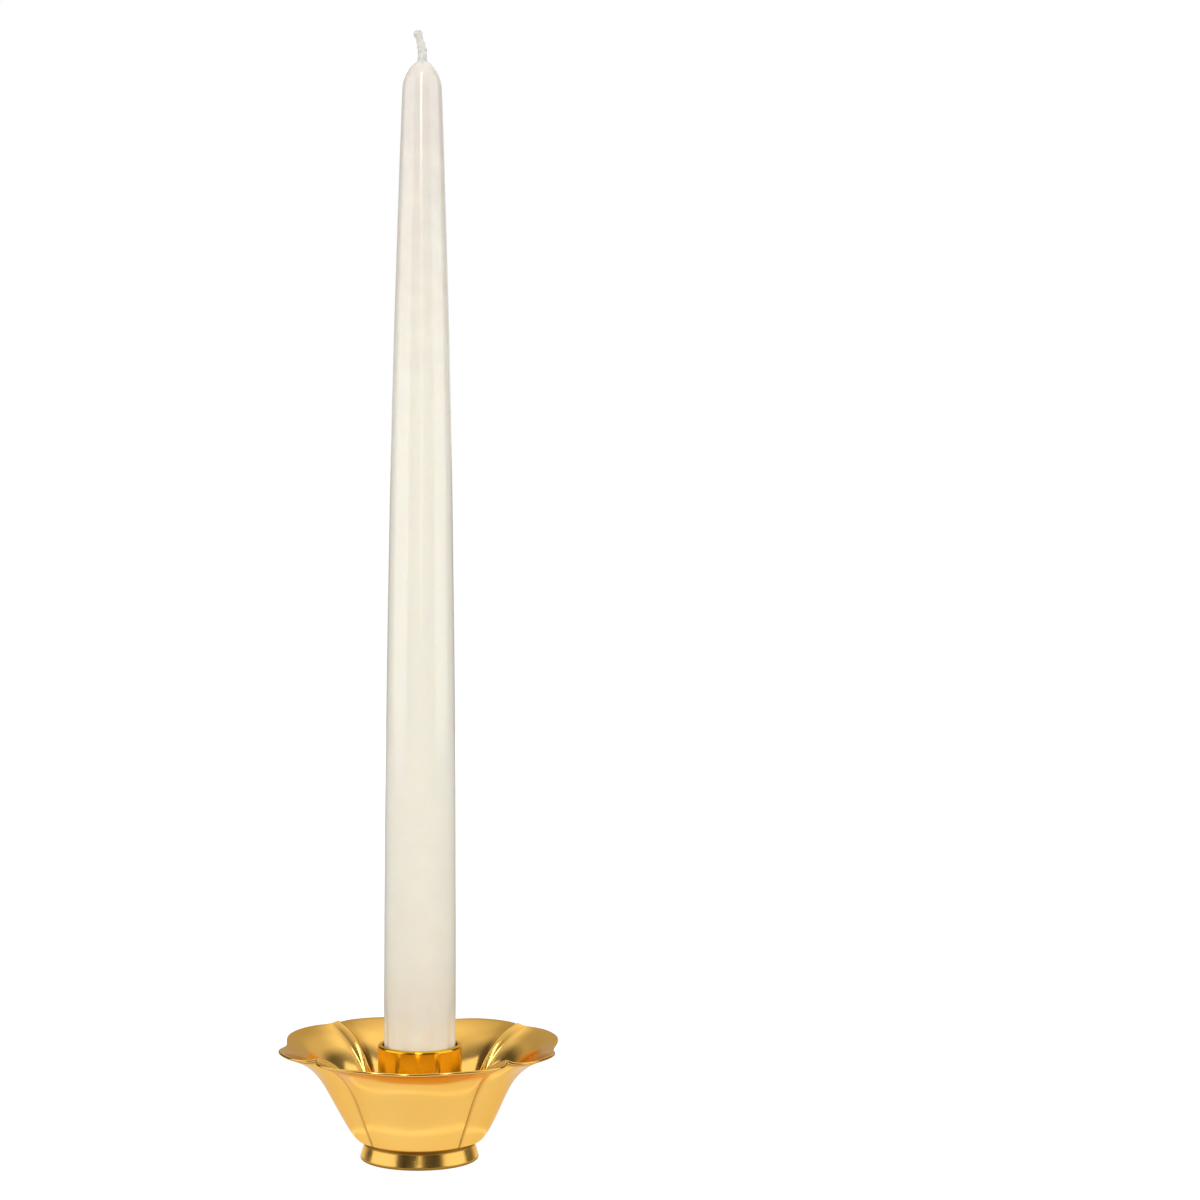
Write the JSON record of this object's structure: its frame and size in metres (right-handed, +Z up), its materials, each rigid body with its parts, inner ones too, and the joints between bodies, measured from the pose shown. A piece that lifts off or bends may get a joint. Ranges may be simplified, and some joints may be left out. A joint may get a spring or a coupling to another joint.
{
  "type": "candlestick",
  "caption": "Low brass candlestick with a petal-shaped bowl on a small foot, a central socket and a tall ivory taper candle that lifts out.",
  "frame": {"origin": "on the surface the foot stands on, at the centre of the foot", "axes": "+Z up along the candle; the petals point along +X, -X, +Y and -Y"},
  "size_m": [0.0868, 0.0868, 0.3504],
  "materials": {
    "polished_brass": "polished, clear lacquered",
    "plated_steel": "zinc plated",
    "ivory_wax": null,
    "waxed_cotton": "plaited cotton, primed with wax"
  },
  "bodies": {
    "holder": {"petal_bowl": "polished_brass", "foot_ring": "polished_brass", "candle_socket": "polished_brass", "screw_washer": "plated_steel", "fixing_screw": "plated_steel"},
    "candle": {"candle_wax": "ivory_wax", "wick": "waxed_cotton"}
  },
  "joints": [
    {"name": "candle_lift", "type": "slide", "parent": "holder", "child": "candle", "axis": [0, 0, 1], "range_m": [0, 0.04]}
  ]
}
